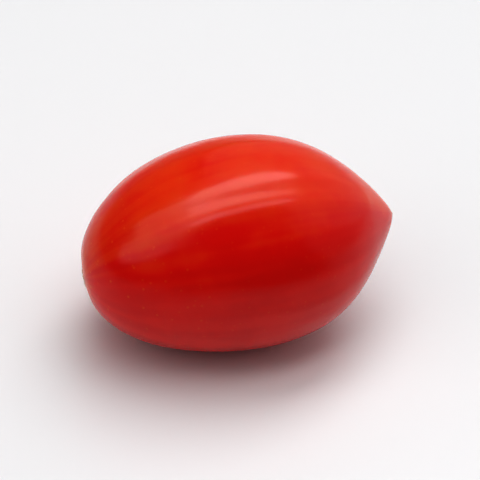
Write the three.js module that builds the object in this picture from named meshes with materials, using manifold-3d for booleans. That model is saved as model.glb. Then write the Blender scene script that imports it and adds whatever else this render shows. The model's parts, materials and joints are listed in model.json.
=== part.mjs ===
// A small plum tomato, picked off its calyx and lying on its side.
// Millimetres, +Z up. The origin is under the middle of the fruit, on the surface that it rests on.
// The stem end faces -X and the pointed blossom end faces +X, a little raised.
import * as THREE from "three";
import { mergeVertices } from "three/addons/utils/BufferGeometryUtils.js";
import Module from "manifold-3d";

// The fruit's body
const FRUIT_LENGTH = 46.5; // stem end to blossom tip
const FRUIT_RADIUS = 15.3; // mean, at the widest ring
const WIDEST_PAST_MIDDLE = 0.4; // the widest ring lies this far past mid-length, towards the tip
const STEM_TAPER = 0.48; // 0.5 would be half an ellipse
const TIP_TAPER = 0.89; // nearer to 1 is more like a cone
const TAPER_CHANGE = [0.3, 0.9]; // shares of the way to the tip between which one taper becomes the other

// Natural unevenness. Directions across the fruit are angles from its top, towards +Y.
const OVAL_SHARE = 0.012; // wider than tall by this share of the radius, each way
const LOBE_SHARE = 0.008; // three soft lobes over the seed chambers
const BEND = 0.48; // of the middle line, out to one side at mid-length
const SWAY = 0.28; // of the middle line, to that side by the stem and to the other by the tip
const BEND_SIDE = THREE.MathUtils.degToRad(43);

// The stem end: a flattened patch that holds a corky scar, which is a low ring round a small pit
const SCAR_OFF_AXIS = 3.2;
const SCAR_SIDE = THREE.MathUtils.degToRad(134);
const SCAR_PULL = 11; // rings of the skin within this radius are drawn round the scar
const PATCH_DEPTH = 0.75;
const PATCH_RADIUS = 2.8;
const RING_HEIGHT = 0.3;
const RING_RADIUS = 1.5;
const RING_WIDTH = 0.45;
const PIT_DEPTH = 0.5;
const PIT_RADIUS = 0.6;

// The blossom end: the point is slightly blunt
const TIP_FLATTENING = 0.2;
const TIP_FLAT_RADIUS = 1.3;

// How it lies
const TIP_RAISED = THREE.MathUtils.degToRad(5); // where a fruit of this outline balances
const REST_DEPTH = 0.3; // its own weight presses this much of its underside flat

// Fineness of the mesh
const RINGS = 48;
const SEGMENTS = 64;
const RING_CROWDING = 0.8; // 0 spaces the rings evenly, and towards 1 they crowd at both ends

const wasm = await Module();
wasm.setup();

// A soft swelling that is 1 at its middle and fades out over its width.
function swelling(distance, width) {
  return Math.exp(-((distance / width) ** 2));
}

// Stations run from 0 at the stem end to PI at the blossom tip.
function stationOf(ring) {
  const share = ring / RINGS;
  const turn = 2 * Math.PI;
  return Math.PI * (share - (RING_CROWDING * Math.sin(turn * share)) / turn);
}

function alongAxis(station) {
  const body = (FRUIT_LENGTH * (1 - Math.cos(station))) / 2;
  return body + WIDEST_PAST_MIDDLE * Math.sin(station) ** 2;
}

function radiusAt(station) {
  const tipwards = THREE.MathUtils.smoothstep(station / Math.PI, ...TAPER_CHANGE);
  const taper = THREE.MathUtils.lerp(STEM_TAPER, TIP_TAPER, tipwards);
  return FRUIT_RADIUS * Math.sin(station) ** (2 * taper);
}

// The station at a distance from the axis on the stem end, where the taper is still the stem's own.
function stemStation(radius) {
  return Math.asin((radius / FRUIT_RADIUS) ** (1 / (2 * STEM_TAPER)));
}

// The body turned about its axis, which is laid along X.
function turnedBody() {
  const outline = [new THREE.Vector2(0, 0)];
  for (let ring = 1; ring < RINGS; ring++) {
    const station = stationOf(ring);
    outline.push(new THREE.Vector2(radiusAt(station), alongAxis(station)));
  }
  outline.push(new THREE.Vector2(0, FRUIT_LENGTH));
  return new THREE.LatheGeometry(outline, SEGMENTS).rotateZ(-Math.PI / 2);
}

// Draws the rings of the stem end round the scar's own middle, and presses the scar into them.
function growScar(point) {
  const radius = Math.hypot(point.y, point.z);
  if (point.x > FRUIT_LENGTH / 2 || radius > SCAR_PULL) return;
  const pull = SCAR_OFF_AXIS * (1 - THREE.MathUtils.smoothstep(radius, 0, SCAR_PULL));
  point.y += pull * Math.sin(SCAR_SIDE);
  point.z += pull * Math.cos(SCAR_SIDE);
  const patch = PATCH_DEPTH * swelling(radius, PATCH_RADIUS);
  const ring = RING_HEIGHT * swelling(radius - RING_RADIUS, RING_WIDTH);
  const pit = PIT_DEPTH * swelling(radius, PIT_RADIUS);
  point.x = alongAxis(stemStation(Math.hypot(point.y, point.z))) + patch - ring + pit;
}

function bluntTip(point) {
  if (point.x < FRUIT_LENGTH / 2) return;
  point.x -= TIP_FLATTENING * swelling(Math.hypot(point.y, point.z), TIP_FLAT_RADIUS);
}

// Makes the round section oval and softly lobed, and bends its middle line. The ends stay in place.
function growUneven(point) {
  const side = Math.atan2(point.y, point.z);
  const fullness = Math.hypot(point.y, point.z) / FRUIT_RADIUS;
  const uneven = LOBE_SHARE * Math.cos(3 * side) - OVAL_SHARE * Math.cos(2 * side);
  const swell = 1 + fullness ** 2 * uneven;
  const halfTurns = (Math.PI * point.x) / FRUIT_LENGTH;
  const shift = fullness * (BEND * Math.sin(halfTurns) + SWAY * Math.sin(2 * halfTurns));
  point.y = point.y * swell + shift * Math.sin(BEND_SIDE);
  point.z = point.z * swell + shift * Math.cos(BEND_SIDE);
}

function grow(geometry) {
  const points = geometry.getAttribute("position");
  const point = new THREE.Vector3();
  for (let i = 0; i < points.count; i++) {
    point.fromBufferAttribute(points, i);
    growScar(point);
    bluntTip(point);
    growUneven(point);
    points.setXYZ(i, point.x, point.y, point.z);
  }
  return geometry;
}

// Tips the fruit to where it balances, with its lowest point just under the surface that it rests on.
function lay(geometry) {
  geometry.rotateY(-TIP_RAISED);
  geometry.computeBoundingBox();
  return geometry.translate(0, 0, -geometry.boundingBox.min.z - REST_DEPTH);
}

// What the surface takes off the underside, which leaves the small flat spot.
function belowSurface() {
  const side = 2 * FRUIT_LENGTH;
  return new THREE.BoxGeometry(side, side, FRUIT_LENGTH).translate(0, 0, -FRUIT_LENGTH / 2);
}

// A closed mesh as a solid that can be cut.
function solidOf(geometry) {
  const bare = geometry.clone();
  bare.deleteAttribute("normal");
  bare.deleteAttribute("uv");
  const merged = mergeVertices(bare);
  const corners = merged.index.array;
  const triangles = [];
  for (let i = 0; i < corners.length; i += 3) {
    const [a, b, c] = corners.slice(i, i + 3);
    if (a !== b && b !== c && c !== a) triangles.push(a, b, c); // turning leaves empty ones on the axis
  }
  return new wasm.Manifold(
    new wasm.Mesh({
      numProp: 3,
      vertProperties: merged.getAttribute("position").array,
      triVerts: new Uint32Array(triangles),
    }),
  );
}

// A solid as geometry again.
function geometryOf(solid) {
  const mesh = solid.getMesh();
  return new THREE.BufferGeometry()
    .setAttribute("position", new THREE.BufferAttribute(mesh.vertProperties, 3))
    .setIndex(new THREE.BufferAttribute(mesh.triVerts, 1));
}

const fruit = solidOf(lay(grow(turnedBody())));
const skin = new THREE.MeshStandardMaterial({ color: "#c4160a", roughness: 0.25, metalness: 0 });
const tomato = new THREE.Mesh(geometryOf(fruit.subtract(solidOf(belowSurface()))), skin);
tomato.name = "tomato";

// The origin is under the middle of the fruit's outline, seen from above.
tomato.geometry.computeVertexNormals();
tomato.geometry.computeBoundingBox();
const middle = tomato.geometry.boundingBox.getCenter(new THREE.Vector3());
tomato.position.set(-middle.x, -middle.y, 0);

const part = new THREE.Group();
part.add(tomato);

export default part;
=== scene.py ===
# %% [markdown]
# # A small plum tomato
# The fruit grew as one body, so it is one mesh: a smooth egg with a pointed blossom end, and a small
# corky scar where the stalk came away. It was picked without its calyx and lies on its side.
#
# The solid that the part is built on is loaded first. It gives the fruit's place and its exact box,
# and everything below is modelled, in metres, to fill that box.

# %% Load the frame
import json
import math
import random

import bmesh
import bpy
from mathutils import Matrix, Vector

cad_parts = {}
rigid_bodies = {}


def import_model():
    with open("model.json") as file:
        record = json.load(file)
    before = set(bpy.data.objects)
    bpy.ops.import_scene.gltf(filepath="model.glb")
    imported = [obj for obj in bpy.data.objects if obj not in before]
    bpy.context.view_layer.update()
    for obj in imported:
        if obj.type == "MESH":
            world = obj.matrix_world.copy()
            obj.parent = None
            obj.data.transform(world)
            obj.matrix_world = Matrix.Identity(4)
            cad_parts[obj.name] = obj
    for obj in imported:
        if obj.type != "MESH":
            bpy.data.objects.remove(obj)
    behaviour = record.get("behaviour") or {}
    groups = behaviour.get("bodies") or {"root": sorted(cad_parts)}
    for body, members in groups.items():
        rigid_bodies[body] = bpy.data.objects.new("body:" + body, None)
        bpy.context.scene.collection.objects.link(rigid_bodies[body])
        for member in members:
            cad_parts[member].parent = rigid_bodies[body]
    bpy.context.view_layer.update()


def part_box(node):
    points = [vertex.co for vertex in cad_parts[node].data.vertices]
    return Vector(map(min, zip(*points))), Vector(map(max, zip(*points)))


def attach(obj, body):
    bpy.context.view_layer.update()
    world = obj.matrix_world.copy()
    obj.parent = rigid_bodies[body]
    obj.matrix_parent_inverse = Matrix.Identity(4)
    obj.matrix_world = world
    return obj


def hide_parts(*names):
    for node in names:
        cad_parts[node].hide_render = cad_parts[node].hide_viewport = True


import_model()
cad_low, cad_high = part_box("tomato")
print("the solid measures, in mm:", [round(1000 * side, 2) for side in cad_high - cad_low])

# %% [markdown]
# ## The half outline
# A fruit like this is nearly round about its axis, so it can be made as on a lathe: draw half of its
# outline, then spin that about the axis. A sphere pulled into shape would also do, but its rings would
# sit in the wrong places for the scar and the tip.
#
# The outline follows one formula. A station runs from 0 at the stem end to pi at the tip, and the
# radius is a power of its sine. The power grows towards the tip, which turns a round end into a point.

# %% Shape of the half outline
MM = 0.001
FRUIT_LENGTH = 46.5 * MM
FRUIT_RADIUS = 15.3 * MM
WIDEST_PAST_MIDDLE = 0.4 * MM
STEM_TAPER = 0.48
TIP_TAPER = 0.89
TAPER_CHANGE_START = 0.3
TAPER_CHANGE_END = 0.9


def smooth_step(value, start, end):
    share = min(max((value - start) / (end - start), 0.0), 1.0)
    return share * share * (3 - 2 * share)


def swelling(distance, width):
    return math.exp(-((distance / width) ** 2))


def body_radius(station):
    tipwards = smooth_step(station / math.pi, TAPER_CHANGE_START, TAPER_CHANGE_END)
    taper = STEM_TAPER + (TIP_TAPER - STEM_TAPER) * tipwards
    return FRUIT_RADIUS * max(math.sin(station), 0.0) ** (2 * taper)


def body_along(station):
    return FRUIT_LENGTH * (1 - math.cos(station)) / 2 + WIDEST_PAST_MIDDLE * math.sin(station) ** 2


print("radius at half way, in mm:", round(body_radius(math.pi / 2) / MM, 2))

# %% [markdown]
# ## Relief of the two ends
# The stalk leaves a flattened patch with a low corky ring round a small pit. At the other end the point
# is slightly blunt. Both are round, so they belong in the outline and come out of the same spin.

# %% Relief of the stem scar and the tip
PATCH_DEPTH = 0.75 * MM
PATCH_RADIUS = 2.8 * MM
RING_HEIGHT = 0.3 * MM
RING_RADIUS = 1.5 * MM
RING_WIDTH = 0.45 * MM
PIT_DEPTH = 0.5 * MM
PIT_RADIUS = 0.6 * MM
TIP_FLATTENING = 0.2 * MM
TIP_FLAT_RADIUS = 1.3 * MM


def end_relief(station):
    radius = body_radius(station)
    if station > math.pi / 2:
        return -TIP_FLATTENING * swelling(radius, TIP_FLAT_RADIUS)
    patch = PATCH_DEPTH * swelling(radius, PATCH_RADIUS)
    ring = RING_HEIGHT * swelling(radius - RING_RADIUS, RING_WIDTH)
    pit = PIT_DEPTH * swelling(radius, PIT_RADIUS)
    return patch - ring + pit


print("depth of the scar's pit, in mm:", round((end_relief(0) - PATCH_DEPTH) / MM, 2))

# %% [markdown]
# ## Drawing the outline
# By hand this is one point that is extruded again and again along the curve. The point comes from a
# small plane whose corners are merged. The points crowd most at the stem end, where the relief is fine.

# %% Extrude one point along the outline
OUTLINE_STEPS = 120
STEM_CROWDING = 0.8
TIP_CROWDING = 0.2
PLANE_SIZE = 1 * MM


def outline_point(share):
    crowding = STEM_CROWDING + (TIP_CROWDING - STEM_CROWDING) * share
    station = math.pi * (share - crowding * math.sin(2 * math.pi * share) / (2 * math.pi))
    return Vector((body_along(station) + end_relief(station), 0, body_radius(station)))


bpy.ops.object.select_all(action="DESELECT")
bpy.ops.mesh.primitive_plane_add(size=PLANE_SIZE, location=(0, 0, 0))
tomato = bpy.context.active_object
tomato.name = "plum_tomato"
tomato.data.name = "plum_tomato"
bpy.ops.object.mode_set(mode="EDIT")
bpy.ops.mesh.select_mode(type="VERT")
bpy.ops.mesh.merge(type="CENTER")
bpy.ops.transform.translate(value=outline_point(0))
for step in range(1, OUTLINE_STEPS + 1):
    reach = outline_point(step / OUTLINE_STEPS) - outline_point((step - 1) / OUTLINE_STEPS)
    bpy.ops.mesh.extrude_region_move(TRANSFORM_OT_translate={"value": reach})
print("outline points:", len(bmesh.from_edit_mesh(tomato.data).verts))

# %% [markdown]
# ## Spinning it
# The spin leaves a seam and two poles with many points on one place. They are merged, and the normals
# are made to point outwards, because a spin can leave them pointing in.

# %% Spin the outline about the fruit's axis
SPIN_STEPS = 192
MERGE_DISTANCE = 0.0001 * MM

bpy.ops.mesh.select_all(action="SELECT")
bpy.ops.mesh.spin(steps=SPIN_STEPS, angle=2 * math.pi, center=(0, 0, 0), axis=(1, 0, 0))
bpy.ops.mesh.select_all(action="SELECT")
bpy.ops.mesh.remove_doubles(threshold=MERGE_DISTANCE)
bpy.ops.mesh.normals_make_consistent(inside=False)
print("points of the body:", len(bmesh.from_edit_mesh(tomato.data).verts))

# %% [markdown]
# ## Moving a few points and letting the rest follow
# From here on the body is shaped as with soft clay: a few points are picked, and proportional editing
# carries their neighbours along. Small helpers pick points by their place, push them and turn them.
# A side is an angle about the fruit's axis, from its top towards +Y.

# %% Helpers for soft pushes


def pick(passes):
    body = bmesh.from_edit_mesh(tomato.data)
    for point in body.verts:
        point.select = bool(passes(point.co))
    body.select_flush_mode()
    bmesh.update_edit_mesh(tomato.data)
    return sum(point.select for point in body.verts)


def push(shift, reach):
    bpy.ops.transform.translate(
        value=shift,
        use_proportional_edit=True,
        proportional_edit_falloff="SMOOTH",
        proportional_size=reach,
    )


def turn(angle, axis, centre, reach=0.0):
    bpy.ops.transform.rotate(
        value=-angle,  # with no window open the operator turns the other way
        orient_axis=axis,
        center_override=centre,
        use_proportional_edit=reach > 0,
        proportional_edit_falloff="SMOOTH",
        proportional_size=max(reach, MM),
    )


def towards(side):
    return Vector((0, math.sin(side), math.cos(side)))


def on_row(place, side, start, end):
    apart = math.remainder(math.atan2(place.y, place.z) - side, 2 * math.pi)
    return abs(apart) < math.pi / SPIN_STEPS and start < place.x / FRUIT_LENGTH < end


# %% [markdown]
# ## Seed chambers and strands
# Three seed chambers press the wall out into three very soft lobes. Under the skin, strands run from
# the stalk to the tip and lift it into faint ridges. They are far too low to see as shapes, but they
# break a broad reflection into long streaks. Two near the top are a little stronger. Each lobe and ridge
# is one row of points, pushed outwards.

# %% Push out the lobes and the ridges
LOBE_SIDES = [math.radians(degrees) for degrees in (0, 120, 240)]
LOBE_HEIGHT = 0.22 * MM
LOBE_REACH = 15 * MM
LOBE_SPAN = (0.2, 0.8)
RIDGES = 24
FIRST_RIDGE_SIDE = math.radians(-14)
RIDGE_WANDER = math.radians(2)
RIDGE_HEIGHTS = (0.02 * MM, 0.07 * MM)
RIDGE_REACH = 2.1 * MM
RIDGE_SPAN = (0.14, 0.88)
STRONG_RIDGE_SIDES = [math.radians(degrees) for degrees in (-13, -29)]
STRONG_RIDGE_HEIGHT = 0.08 * MM
STRONG_RIDGE_REACH = 2.6 * MM
RIDGE_SEED = 12

chance = random.Random(RIDGE_SEED)
for side in LOBE_SIDES:
    pick(lambda place: on_row(place, side, *LOBE_SPAN))
    push(towards(side) * LOBE_HEIGHT, LOBE_REACH)
for ridge in range(RIDGES):
    side = FIRST_RIDGE_SIDE + 2 * math.pi * ridge / RIDGES
    side += chance.uniform(-RIDGE_WANDER, RIDGE_WANDER)
    pick(lambda place: on_row(place, side, *RIDGE_SPAN))
    push(towards(side) * chance.uniform(*RIDGE_HEIGHTS), RIDGE_REACH)
for side in STRONG_RIDGE_SIDES:
    pick(lambda place: on_row(place, side, *RIDGE_SPAN))
    push(towards(side) * STRONG_RIDGE_HEIGHT, STRONG_RIDGE_REACH)
print("lobes:", len(LOBE_SIDES), "ridges:", RIDGES + len(STRONG_RIDGE_SIDES))

# %% [markdown]
# ## The scar sits off the axis
# On most fruits the stalk isn't exactly in the middle of its end. The stem end is close to part of a
# sphere, so turning the scar about that sphere's centre slides it over the surface without denting it.

# %% Slide the scar over the stem end
STEM_END_RADIUS = 11.05 * MM
SCAR_OFF_AXIS = 3.2 * MM
SCAR_SIDE = math.radians(134)
SCAR_HELD = 2.2 * MM
SCAR_REACH = 9 * MM

slide = towards(SCAR_SIDE) * SCAR_OFF_AXIS / STEM_END_RADIUS
held = pick(lambda place: place.x < FRUIT_LENGTH / 2 and place.yz.length < SCAR_HELD)
turn(slide.z, "Y", (STEM_END_RADIUS, 0, 0), SCAR_REACH)
turn(-slide.y, "Z", (STEM_END_RADIUS, 0, 0), SCAR_REACH)
print("points held as the scar:", held)

# %% [markdown]
# ## Marking the scar
# The cork gets a rough surface and a finish of its own later, so its points go into a vertex group now.
# Its middle is measured while they are still selected. The weight steps down towards the rim, so that
# the roughness fades into the skin.

# %% Put the scar's points into a vertex group
CORK_GROUP = "cork"
CORK_STEPS = ((2.4 * MM, 0.2), (2.1 * MM, 0.5), (1.8 * MM, 0.8), (1.5 * MM, 1.0))  # radius, weight


def selected_middle():
    places = [point.co for point in bmesh.from_edit_mesh(tomato.data).verts if point.select]
    return sum(places, Vector()) / len(places)


scar_middle = selected_middle()
tomato.vertex_groups.new(name=CORK_GROUP)
for radius, weight in CORK_STEPS:
    bpy.context.tool_settings.vertex_group_weight = weight
    pick(lambda place: (place - scar_middle).length < radius)
    bpy.ops.object.vertex_group_assign()
print("scar at, in mm:", [round(value / MM, 2) for value in scar_middle])

# %% [markdown]
# ## The bend of the fruit
# The middle line isn't straight: it bows out to one side at mid-length and sways the other way by the
# tip. A ring of points is pushed sideways, and the fruit follows it over a long reach. At the end the
# whole fruit is made slightly wider than tall.

# %% Bend the middle line
BEND_SIDE = math.radians(43)
BENDS = (  # share of the way to the tip, shift to the side, reach
    (0.5, 0.48 * MM, 28 * MM),
    (0.25, 0.28 * MM, 14 * MM),
    (0.75, -0.28 * MM, 14 * MM),
)
RING_PICK = 0.6 * MM
OVAL = (1, 1.012, 0.988)

for share, shift, reach in BENDS:
    pick(lambda place: abs(place.x - share * FRUIT_LENGTH) < RING_PICK)
    push(towards(BEND_SIDE) * shift, reach)
bpy.ops.mesh.select_all(action="SELECT")
bpy.ops.transform.resize(value=OVAL, center_override=(0, 0, 0))
print("bends:", len(BENDS))

# %% [markdown]
# ## Uneven skin and rough cork
# No grown surface is perfectly even. A cloud texture moves the skin in and out by about a tenth of a
# millimetre, over the width of a thumb. A second, much finer one crumbles the cork inside its group.
# Both are modifiers that are applied, so the relief is in the mesh and not only in a material.

# %% Displace the skin and the cork
MIDDLE_LEVEL = 0.6  # the value of the clouds that moves nothing

bpy.ops.object.mode_set(mode="OBJECT")


def roughen(name, grain, depth, strength, group=""):
    clouds = bpy.data.textures.new(name, type="CLOUDS")
    clouds.noise_scale = grain
    clouds.noise_depth = depth
    displace = tomato.modifiers.new(name, "DISPLACE")
    displace.texture = clouds
    displace.texture_coords = "LOCAL"
    displace.strength = strength
    displace.mid_level = MIDDLE_LEVEL
    displace.vertex_group = group
    bpy.ops.object.modifier_apply(modifier=displace.name)
    bpy.data.textures.remove(clouds)


roughen("uneven skin", grain=11 * MM, depth=1, strength=0.22 * MM)
roughen("rough cork", grain=0.7 * MM, depth=3, strength=0.45 * MM, group=CORK_GROUP)
print("points after roughening:", len(tomato.data.vertices))

# %% [markdown]
# ## Laying it down
# A fruit of this outline balances with its tip a little raised. It is tipped, lowered until its lowest
# point is just under the surface, and cut off there. That leaves the small flat spot that it rests on.
# A bisect keeps points that lie close to its plane, so its threshold is small here, and the rim is then
# pressed level. The fill can face inwards, so the normals are made to point outwards once more.

# %% Tip the fruit and cut the rest spot
TIP_RAISED = math.radians(5)
REST_DEPTH = 0.3 * MM
CUT_THRESHOLD = 0.002 * MM

bpy.ops.object.mode_set(mode="EDIT")
bpy.ops.mesh.select_all(action="SELECT")
turn(-TIP_RAISED, "Y", (0, 0, 0))
lowest = min(point.co.z for point in bmesh.from_edit_mesh(tomato.data).verts)
bpy.ops.transform.translate(value=(0, 0, -lowest - REST_DEPTH))
bpy.ops.mesh.select_all(action="SELECT")
bpy.ops.mesh.bisect(
    plane_co=(0, 0, 0),
    plane_no=(0, 0, 1),
    use_fill=True,
    clear_inner=True,
    threshold=CUT_THRESHOLD,
)
corners = pick(lambda place: abs(place.z) < 2 * CUT_THRESHOLD)
bpy.ops.transform.resize(value=(1, 1, 0), center_override=(0, 0, 0))
bpy.ops.mesh.select_all(action="SELECT")
bpy.ops.mesh.normals_make_consistent(inside=False)
print("corners of the rest spot:", corners)

# %% [markdown]
# ## Filling the solid's box
# The pushes above have swollen the body by a hair. It is centred over the origin and resized so that it
# fills the box of the solid exactly, and so never stands out of it.

# %% Fit the fruit into the solid's box


def body_box():
    places = [point.co for point in bmesh.from_edit_mesh(tomato.data).verts]
    low = Vector([min(place[axis] for place in places) for axis in range(3)])
    high = Vector([max(place[axis] for place in places) for axis in range(3)])
    return low, high


bpy.ops.mesh.select_all(action="SELECT")
low, high = body_box()
fit = [(cad_high - cad_low)[axis] / (high - low)[axis] for axis in range(3)]
bpy.ops.transform.resize(value=fit, center_override=(0, 0, 0))
low, high = body_box()
bpy.ops.transform.translate(value=cad_low - low)
bpy.ops.object.mode_set(mode="OBJECT")
bpy.ops.object.shade_smooth()
print("resized by", [round(share, 4) for share in fit])

# %% [markdown]
# ## Where the ends are now
# The finish depends on how far a place is from the scar and from the tip, so both are measured on the
# finished mesh. The scar's own direction, straight out of the fruit, comes from its normals.

# %% Measure the scar and the tip
FULL_CORK = 0.99


def in_cork(point):
    group = tomato.vertex_groups[CORK_GROUP].index
    return any(share.group == group and share.weight > FULL_CORK for share in point.groups)


cork_points = [point for point in tomato.data.vertices if in_cork(point)]
scar_place = sum((point.co for point in cork_points), Vector()) / len(cork_points)
scar_out = sum((point.normal for point in cork_points), Vector()).normalized()
tip_place = max((point.co for point in tomato.data.vertices), key=lambda place: place.x).copy()
axis_out = Vector((math.cos(TIP_RAISED), 0, math.sin(TIP_RAISED)))
print("scar at, in mm:", [round(value / MM, 2) for value in scar_place])
print("tip at, in mm:", [round(value / MM, 2) for value in tip_place])

# %% [markdown]
# ## A short way to write nodes
# Every finish below is a graph of nodes. One helper adds a node, sets its inputs and links the sockets
# that it is given. The others cover the steps that come up again and again: one step of arithmetic, a
# value that fades out or rises between two limits, and a colour laid over another.

# %% Helpers for nodes
NODE_SPACING = 180
MIX_SHARE, MIX_BASE, MIX_LAYER, MIX_RESULT = 0, 6, 7, 2  # by number, because sockets of a Mix share names


def add_node(tree, kind, inputs, **settings):
    made = tree.nodes.new(kind)
    made.location.x = NODE_SPACING * len(tree.nodes)
    for name, value in settings.items():
        setattr(made, name, value)
    for name, value in inputs.items():
        if isinstance(value, bpy.types.NodeSocket):
            tree.links.new(value, made.inputs[name])
        else:
            made.inputs[name].default_value = value
    return made


def math_step(tree, operation, first, second):
    return add_node(tree, "ShaderNodeMath", {0: first, 1: second}, operation=operation).outputs[0]


def fade(tree, value, start, end, at_start=1.0, at_end=0.0):
    ranges = {"Value": value, "From Min": start, "From Max": end, "To Min": at_start, "To Max": at_end}
    return add_node(tree, "ShaderNodeMapRange", ranges, interpolation_type="SMOOTHSTEP").outputs[0]


def rise(tree, value, start, end):
    return fade(tree, value, start, end, 0.0, 1.0)


def tint(tree, share, base, colour):
    layers = {MIX_SHARE: share, MIX_BASE: base, MIX_LAYER: colour}
    return add_node(tree, "ShaderNodeMix", layers, data_type="RGBA").outputs[MIX_RESULT]


# %% [markdown]
# ## Where on the fruit
# Skin and cork both change with the distance from the scar, so that is worked out once, in a node group.
# It also gives the distance from the tip, the rays that spread from the scar, and the strands that run
# from end to end. All of it reads object coordinates, turned to the scar or to the fruit's axis.

# %% Node group for places on the fruit
RAY_CROWD = 3.0
RAY_DRIFT = 0.0
STRAND_CROWD = 4.5
STRAND_DRIFT = 18.0


def new_group(name, outputs):
    group = bpy.data.node_groups.new(name, "ShaderNodeTree")
    for output in outputs:
        group.interface.new_socket(output, in_out="OUTPUT", socket_type="NodeSocketFloat")
    return group


def facing(direction):
    return direction.to_track_quat("Z", "Y").to_euler()


def local_place(tree, middle, direction):
    coordinates = add_node(tree, "ShaderNodeTexCoord", {}).outputs["Object"]
    turned = {"Vector": coordinates, "Location": middle, "Rotation": facing(direction)}
    return add_node(tree, "ShaderNodeMapping", turned, vector_type="TEXTURE").outputs["Vector"]


def distance_mm(tree, place):
    length = add_node(tree, "ShaderNodeVectorMath", {0: place}, operation="LENGTH").outputs["Value"]
    return math_step(tree, "MULTIPLY", length, 1 / MM)


def vector_step(tree, operation, first, second=(0, 0, 0)):
    return add_node(tree, "ShaderNodeVectorMath", {0: first, 1: second}, operation=operation).outputs[0]


def spoke(tree, place):
    return vector_step(tree, "NORMALIZE", vector_step(tree, "MULTIPLY", place, (1, 1, 0)))


def round_noise(tree, place, crowd, drift):
    wide = vector_step(tree, "MULTIPLY", spoke(tree, place), (crowd, crowd, crowd))
    along = vector_step(tree, "MULTIPLY", place, (0, 0, drift))
    where = vector_step(tree, "ADD", wide, along)
    return add_node(tree, "ShaderNodeTexNoise", {"Vector": where, "Scale": 1.0}).outputs["Fac"]


def make_places():
    outputs = ("Scar Distance", "Scar Rays", "Tip Distance", "Strands", "Painted Light Top")
    group = new_group("places on the fruit", outputs)
    scar = local_place(group, scar_place, scar_out)
    tip = local_place(group, tip_place, axis_out)
    sides = add_node(group, "ShaderNodeSeparateXYZ", {"Vector": spoke(group, tip)})
    results = {
        "Scar Distance": distance_mm(group, scar),
        "Scar Rays": round_noise(group, scar, RAY_CROWD, RAY_DRIFT),
        "Tip Distance": distance_mm(group, tip),
        "Strands": round_noise(group, tip, STRAND_CROWD, STRAND_DRIFT),
        # how far a place lies towards the top of the fruit; it places the orange red of the painted light
        "Painted Light Top": sides.outputs["Y"],
    }
    add_node(group, "NodeGroupOutput", results)
    return group


places_group = make_places()
print("outputs:", [socket.name for socket in places_group.interface.items_tree])

# %% [markdown]
# ## Fine grain
# The other effect that both finishes share is grain: small uneven height that a bump node reads. Skin has
# very little of it and cork a lot, so the group takes the size of the grain as an input.

# %% Node group for grain
FINER_GRAIN = 3.1
FINER_SHARE = 0.35


def make_grain():
    group = new_group("fine grain", ("Height",))
    group.interface.new_socket("Crowding", in_out="INPUT", socket_type="NodeSocketFloat")
    crowding = add_node(group, "NodeGroupInput", {}).outputs["Crowding"]
    place = add_node(group, "ShaderNodeTexCoord", {}).outputs["Object"]
    coarse = add_node(group, "ShaderNodeTexNoise", {"Vector": place, "Scale": crowding}).outputs["Fac"]
    finer = math_step(group, "MULTIPLY", crowding, FINER_GRAIN)
    fine = add_node(group, "ShaderNodeTexNoise", {"Vector": place, "Scale": finer}).outputs["Fac"]
    height = math_step(group, "ADD", coarse, math_step(group, "MULTIPLY", fine, FINER_SHARE))
    add_node(group, "NodeGroupOutput", {"Height": height})
    return group


grain_group = make_grain()
print("nodes in the grain:", len(grain_group.nodes))

# %% [markdown]
# ## Starting a finish
# Each finish is a new material with one Principled shader. A shared group is placed in it like any other
# node, and its grain goes in through a bump node. Everything that follows adds nodes to that tree.

# %% Helpers for materials


def new_material(name):
    material = bpy.data.materials.new(name)
    material.use_nodes = True
    tree = material.node_tree
    tree.nodes.clear()
    shader = add_node(tree, "ShaderNodeBsdfPrincipled", {})
    add_node(tree, "ShaderNodeOutputMaterial", {"Surface": shader.outputs["BSDF"]})
    return material, tree, shader


def add_group(tree, group, inputs):
    return add_node(tree, "ShaderNodeGroup", inputs, node_tree=group).outputs


def add_bump(tree, shader, height, strength, distance):
    bump = add_node(tree, "ShaderNodeBump", {"Height": height, "Strength": strength, "Distance": distance})
    tree.links.new(bump.outputs["Normal"], shader.inputs["Normal"])


# %% [markdown]
# ## The reds of the skin
# Ripe skin is a thin waxy film over red flesh. Its colour is built in layers, from the widest to the
# smallest. First come two reds that drift along the strands. Over them goes a more orange red, painted on
# the top of the fruit where the light falls: this is painted light. One soft noise, the mottle, makes all
# of them patchy.

# %% Reds of the skin
MOTTLE_CROWD = 130.0
MOTTLE_DETAIL = 3.0
DEEP_RED = (0.65, 0.005, 0.002, 1)
RIPE_RED = (0.72, 0.009, 0.003, 1)
RIPE_LIMITS = (0.76, 1.24)
# painted light: a more orange red on the top of the fruit, where the light falls
PAINTED_LIGHT_ORANGE = (0.69, 0.050, 0.006, 1)
PAINTED_LIGHT_LIMITS = (1.45, 2.05)
PAINTED_LIGHT_PATCHES = 0.9

skin, skin_tree, skin_shader = new_material("ripe tomato skin")
skin_place = add_node(skin_tree, "ShaderNodeTexCoord", {}).outputs["Object"]
skin_where = add_group(skin_tree, places_group, {})
mottling = {"Vector": skin_place, "Scale": MOTTLE_CROWD, "Detail": MOTTLE_DETAIL}
mottle = add_node(skin_tree, "ShaderNodeTexNoise", mottling).outputs["Fac"]
drift = math_step(skin_tree, "ADD", mottle, skin_where["Strands"])
colour = tint(skin_tree, rise(skin_tree, drift, *RIPE_LIMITS), DEEP_RED, RIPE_RED)
patches = math_step(skin_tree, "MULTIPLY", drift, PAINTED_LIGHT_PATCHES)
# the orange red of the painted light goes on the top, where the light falls
painted_light_top = math_step(skin_tree, "ADD", skin_where["Painted Light Top"], patches)
colour = tint(skin_tree, rise(skin_tree, painted_light_top, *PAINTED_LIGHT_LIMITS), colour, PAINTED_LIGHT_ORANGE)
print("nodes for the reds:", len(skin_tree.nodes))

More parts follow.
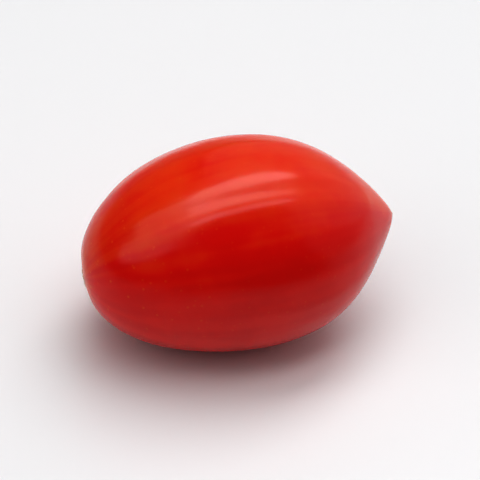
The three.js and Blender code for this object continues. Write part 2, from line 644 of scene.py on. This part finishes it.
# %% [markdown]
# ## Pale specks
# The skin is scattered with tiny golden specks, more of them near the scar. A Voronoi texture gives one
# cell to each speck: the distance from its middle draws a dot, and the cell's own random colour decides
# how strongly that dot shows.

# %% Specks on the skin
SPECK_GOLD = (0.74, 0.10, 0.015, 1)
SPECK_CROWD = 1100.0
SPECK_EDGE = (0.06, 0.3)
SPECK_CHOICE = (0.45, 0.95)
SPECK_REACH = (5.0, 28.0)  # mm from the scar
SPECK_STRENGTH = (0.6, 0.14)

cells = add_node(skin_tree, "ShaderNodeTexVoronoi", {"Vector": skin_place, "Scale": SPECK_CROWD}).outputs
dots = fade(skin_tree, cells["Distance"], *SPECK_EDGE)
draws = add_node(skin_tree, "ShaderNodeSeparateColor", {"Color": cells["Color"]}).outputs["Red"]
chosen_dots = math_step(skin_tree, "MULTIPLY", dots, rise(skin_tree, draws, *SPECK_CHOICE))
strength = fade(skin_tree, skin_where["Scar Distance"], *SPECK_REACH, *SPECK_STRENGTH)
colour = tint(skin_tree, math_step(skin_tree, "MULTIPLY", chosen_dots, strength), colour, SPECK_GOLD)
print("nodes with the specks:", len(skin_tree.nodes))

# %% [markdown]
# ## Round the scar and at the tip
# Round the scar the skin ripens last. It is orange there, in a halo that breaks up into rays, and ochre
# right next to the cork. The blossom end is paler too, and the dried end of the flower leaves a brown
# dot on the very point. All limits are distances in millimetres.

# %% Halo, rim and tip
HALO_ORANGE = (0.72, 0.11, 0.010, 1)
HALO_LIMITS = (3.5, 9.5)
HALO_RAYS = 5.0
RIM_OCHRE = (0.46, 0.16, 0.025, 1)
RIM_LIMITS = (2.0, 3.4)
TIP_ORANGE = (0.66, 0.085, 0.018, 1)
TIP_LIMITS = (0.6, 4.0)
TIP_STRENGTH = (0.75, 0.0)
TIP_BROWN = (0.36, 0.085, 0.025, 1)
TIP_DOT_LIMITS = (0.35, 0.8)

rays = math_step(skin_tree, "MULTIPLY", skin_where["Scar Rays"], HALO_RAYS)
halo = math_step(skin_tree, "ADD", skin_where["Scar Distance"], rays)
colour = tint(skin_tree, fade(skin_tree, halo, *HALO_LIMITS), colour, HALO_ORANGE)
rim = math_step(skin_tree, "ADD", skin_where["Scar Distance"], skin_where["Scar Rays"])
rim_mask = fade(skin_tree, rim, *RIM_LIMITS)
colour = tint(skin_tree, rim_mask, colour, RIM_OCHRE)
tip = math_step(skin_tree, "ADD", skin_where["Tip Distance"], mottle)
colour = tint(skin_tree, fade(skin_tree, tip, *TIP_LIMITS, *TIP_STRENGTH), colour, TIP_ORANGE)
tip_dot = fade(skin_tree, skin_where["Tip Distance"], *TIP_DOT_LIMITS)
colour = tint(skin_tree, tip_dot, colour, TIP_BROWN)
skin_tree.links.new(colour, skin_shader.inputs["Base Color"])
print("nodes with all the colours:", len(skin_tree.nodes))

# %% [markdown]
# ## Wax and flesh
# The wax on the skin gives a fairly tight gloss, a little uneven, which goes dull at the rim and on the
# point. Light also goes a few millimetres into the flesh and comes out red, so the shader has some
# subsurface scattering. What is the same all over is set on the shader's own sockets.

# %% Gloss and depth of the skin
GLOSS_MOTTLE = (0.3, 0.7)
GLOSS_ROUGHNESS = (0.16, 0.21)
DRY_ROUGHNESS = 0.25
SKIN_GRAIN = 420.0
SKIN_BUMP = (0.5, 0.03 * MM)  # strength, distance
WAX_IOR = 1.4
FLESH_WEIGHT = 0.45
FLESH_RADIUS = (1.0, 0.12, 0.05)
FLESH_DEPTH = 4.5 * MM

dry = math_step(skin_tree, "MAXIMUM", rim_mask, tip_dot)
dry = math_step(skin_tree, "MULTIPLY", dry, DRY_ROUGHNESS)
gloss = math_step(skin_tree, "ADD", fade(skin_tree, mottle, *GLOSS_MOTTLE, *GLOSS_ROUGHNESS), dry)
skin_tree.links.new(gloss, skin_shader.inputs["Roughness"])
skin_grain = add_group(skin_tree, grain_group, {"Crowding": SKIN_GRAIN})
add_bump(skin_tree, skin_shader, skin_grain["Height"], *SKIN_BUMP)
skin_shader.inputs["IOR"].default_value = WAX_IOR
skin_shader.inputs["Subsurface Weight"].default_value = FLESH_WEIGHT
skin_shader.inputs["Subsurface Radius"].default_value = FLESH_RADIUS
skin_shader.inputs["Subsurface Scale"].default_value = FLESH_DEPTH
print("nodes in the skin:", len(skin_tree.nodes))

# %% [markdown]
# ## The cork
# Where the stalk broke off, the fruit sealed itself with dry cork. It is tan on its crumbled ring, darker
# in the cracks, and nearly black down in the pit. It has no gloss at all. At its edge it takes the ochre
# of the rim.

# %% Cork material
CORK_TAN = (0.42, 0.20, 0.055, 1)
CORK_BROWN = (0.13, 0.06, 0.018, 1)
CRACK_LIMITS = (0.5, 0.85)
# nearly black towards the middle of the scar, over the pit
PIT_NEAR_BLACK = (0.035, 0.026, 0.008, 1)
PIT_LIMITS = (0.8, 1.5)  # mm
CORK_RIM_LIMITS = (1.7, 2.4)  # mm
CORK_GRAIN = 2600.0
CORK_BUMP = (0.6, 0.15 * MM)  # strength, distance
CORK_ROUGHNESS = 0.8

cork, cork_tree, cork_shader = new_material("corky scar")
cork_where = add_group(cork_tree, places_group, {})
cork_grain = add_group(cork_tree, grain_group, {"Crowding": CORK_GRAIN})
colour = tint(cork_tree, fade(cork_tree, cork_grain["Height"], *CRACK_LIMITS), CORK_TAN, CORK_BROWN)
ragged = math_step(cork_tree, "ADD", cork_where["Scar Distance"], cork_where["Scar Rays"])
colour = tint(cork_tree, fade(cork_tree, ragged, *PIT_LIMITS), colour, PIT_NEAR_BLACK)
colour = tint(cork_tree, rise(cork_tree, ragged, *CORK_RIM_LIMITS), colour, RIM_OCHRE)
cork_tree.links.new(colour, cork_shader.inputs["Base Color"])
add_bump(cork_tree, cork_shader, cork_grain["Height"], *CORK_BUMP)
cork_shader.inputs["Roughness"].default_value = CORK_ROUGHNESS
print("nodes in the cork:", len(cork_tree.nodes))

# %% [markdown]
# ## Putting the finishes on
# The skin covers everything. The faces close to the scar's middle then take the cork. Both finishes are
# ochre where they meet, so the border between them doesn't show as a line.

# %% Assign the finishes
CORK_EDGE = 1.9 * MM

tomato.data.materials.append(skin)
tomato.data.materials.append(cork)
bpy.ops.object.mode_set(mode="EDIT")
bpy.ops.mesh.select_mode(type="FACE")
body = bmesh.from_edit_mesh(tomato.data)
for face in body.faces:
    face.select_set((face.calc_center_median() - scar_place).length < CORK_EDGE)
corky = sum(face.select for face in body.faces)
bmesh.update_edit_mesh(tomato.data)
tomato.active_material_index = 1
bpy.ops.object.material_slot_assign()
bpy.ops.object.mode_set(mode="OBJECT")
print("faces of cork:", corky, "of", len(tomato.data.polygons))

# %% [markdown]
# ## The stage
# The fruit lies on a plain pale floor, slightly glossy and wide enough that its edge is far away in every
# view. It is set a hair lower than the rest spot, so that the two faces never coincide.

# %% Pale floor
FLOOR_SIZE = 12.0
FLOOR_WHITE = (0.78, 0.78, 0.785, 1)
FLOOR_ROUGHNESS = 0.3
FLOOR_DROP = 0.02 * MM

bpy.ops.object.select_all(action="DESELECT")
bpy.ops.mesh.primitive_plane_add(size=FLOOR_SIZE, location=(0, 0, -FLOOR_DROP))
floor = bpy.context.active_object
floor.name = "pale_floor"
floor_finish, _, floor_shader = new_material("pale floor")
floor_shader.inputs["Base Color"].default_value = FLOOR_WHITE
floor_shader.inputs["Roughness"].default_value = FLOOR_ROUGHNESS
floor.data.materials.append(floor_finish)
print("floor side, in m:", FLOOR_SIZE)

# %% [markdown]
# ## The light
# Softboxes hang round the fruit, each at the same distance. A bright one stands overhead and a little
# behind, within a wide dim one, and a long strip runs beside it. Their reflections are the long streaks
# of the highlight. Wider panels fill in above the stem end, at the back right and beside the tip. The
# near side is left dark, so the red below the highlight stays deep.
#
# A softbox is placed by how far it leans from straight up, towards +X and towards +Y, and sized by the
# angle that it spans. Its power then follows from the brightness wanted in its reflection.

# %% Softboxes
LIGHT_DISTANCE = 0.5
SOFTBOXES = {
    "key": {"lean": (8, 16), "span": (62, 26), "turn": 22, "brightness": 2.6},
    "key surround": {"lean": (2, 6), "span": (68, 58), "turn": 0, "brightness": 0.32},
    "strip": {"lean": (2, -15), "span": (60, 13), "turn": 18, "brightness": 1.6},
    "stem side": {"lean": (-42, -12), "span": (70, 42), "turn": 0, "brightness": 0.95},
    "back right": {"lean": (45, 30), "span": (90, 100), "turn": 0, "brightness": 0.26},
    "tip side": {"lean": (62, -8), "span": (84, 90), "turn": 90, "brightness": 0.2},
}


def aim(thing, target, across):
    back = (thing.location - target).normalized()
    side = (across - back * across.dot(back)).normalized()
    thing.rotation_euler = Matrix((side, back.cross(side), back)).transposed().to_euler()


def add_softbox(name, lean, span, turn, brightness):
    slopes = [math.tan(math.radians(angle)) for angle in lean]
    place = middle + Vector((*slopes, 1)).normalized() * LIGHT_DISTANCE
    bpy.ops.object.light_add(type="AREA", location=place)
    softbox = bpy.context.active_object
    softbox.name = "softbox " + name
    width, depth = [2 * LIGHT_DISTANCE * math.tan(math.radians(angle / 2)) for angle in span]
    area = math.pi / 4 * width * depth
    softbox.data.shape = "ELLIPSE"
    softbox.data.size = width
    softbox.data.size_y = depth
    softbox.data.energy = brightness * math.pi * area
    softbox.visible_camera = False
    across = math.radians(turn)
    aim(softbox, middle, Vector((math.cos(across), math.sin(across), 0)))


middle = (cad_low + cad_high) / 2
for name, values in SOFTBOXES.items():
    add_softbox(name, **values)
print("softboxes:", len(SOFTBOXES))

# %% [markdown]
# ## The room and the view
# A dim grey room fills in a little where no softbox stands. The photograph has strong colours and deep
# darks, so the view is given a look with more contrast than the plain one.

# %% Surroundings and contrast
SURROUNDINGS = (0.115, 0.115, 0.119, 1)

world = bpy.data.worlds.new("dim room")
world.use_nodes = True
world.node_tree.nodes["Background"].inputs["Color"].default_value = SURROUNDINGS
bpy.context.scene.world = world
bpy.context.scene.view_settings.view_transform = "Standard"
bpy.context.scene.view_settings.look = "High Contrast"
print("look:", bpy.context.scene.view_settings.look)

# %% [markdown]
# ## The camera
# The camera looks down on the fruit from the near side, a little from the stem end, so the tip points to
# the right and away. It is held slightly turned, as the photograph was. A long lens from the same distance
# keeps the photograph's perspective and brings the fruit close.

# %% Camera
VIEW_AZIMUTH = math.radians(-23.4)
VIEW_ELEVATION = math.radians(41)
VIEW_ROLL = math.radians(7.8)
VIEW_DISTANCE = 0.335
FRAME_WIDTH = 0.068

bpy.ops.object.camera_add()
camera = bpy.context.active_object
away = Vector((math.sin(VIEW_AZIMUTH), -math.cos(VIEW_AZIMUTH), 0)) * math.cos(VIEW_ELEVATION)
away.z = math.sin(VIEW_ELEVATION)
camera.location = middle + away * VIEW_DISTANCE
aim(camera, middle, Vector((math.cos(VIEW_AZIMUTH), math.sin(VIEW_AZIMUTH), 0)))
camera.rotation_euler.rotate_axis("Z", VIEW_ROLL)
camera.data.lens = camera.data.sensor_width * VIEW_DISTANCE / FRAME_WIDTH
bpy.context.scene.camera = camera
print("lens, in mm:", round(camera.data.lens, 1))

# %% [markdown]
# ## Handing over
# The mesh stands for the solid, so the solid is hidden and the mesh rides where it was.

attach(tomato, "root")
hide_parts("tomato")
